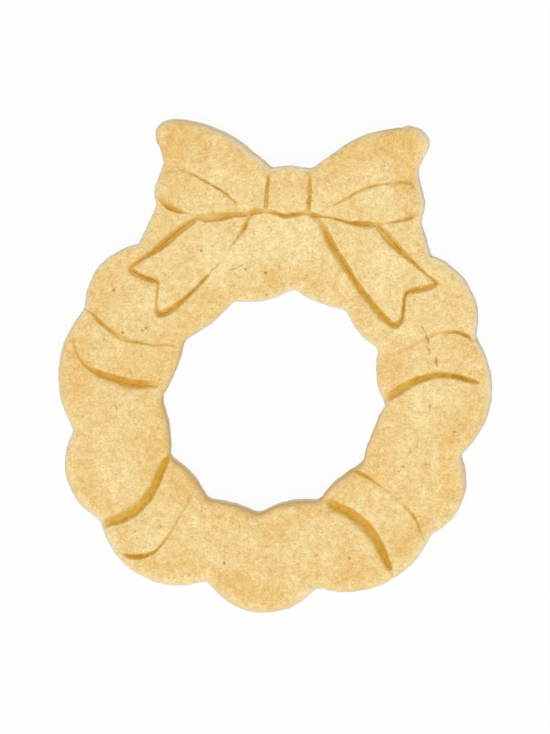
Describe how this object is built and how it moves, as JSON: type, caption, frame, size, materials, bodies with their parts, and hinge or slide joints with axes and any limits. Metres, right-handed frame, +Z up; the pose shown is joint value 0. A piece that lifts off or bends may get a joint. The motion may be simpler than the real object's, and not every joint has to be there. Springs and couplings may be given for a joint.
{
  "type": "wreath cookie",
  "caption": "Flat baked cookie shaped as a wreath under a ribbon bow, with a scalloped rim and hole; pressed lines part its raised bow, tails, ribbon wraps and wreath stretches.",
  "frame": {"origin": "middle of the underside, at the centre of the cookie's outline box", "axes": "+Z up from the underside to the pressed face, +Y from the wreath towards the bow, +X to the right as the face is looked at"},
  "size_m": [0.0702, 0.08, 0.0058],
  "materials": {
    "sheet_dough": "matt baked dough, golden at the cut edge",
    "wreath_dough": "matt baked dough, pale with toasted rims",
    "wrap_dough": "matt baked dough, lightly toasted",
    "bow_dough": "matt baked dough, toasted at the loops' tips"
  },
  "bodies": {
    "root": {"dough_sheet": "sheet_dough", "wreath_top": "wreath_dough", "wreath_left": "wreath_dough", "wreath_bottom": "wreath_dough", "wreath_right": "wreath_dough", "upper_left_wrap": "wrap_dough", "lower_left_wrap": "wrap_dough", "lower_right_wrap": "wrap_dough", "upper_right_wrap": "wrap_dough", "bow_knot": "bow_dough", "bow_left_loop": "bow_dough", "bow_right_loop": "bow_dough", "bow_left_tail": "bow_dough", "bow_right_tail": "bow_dough"}
  },
  "joints": []
}
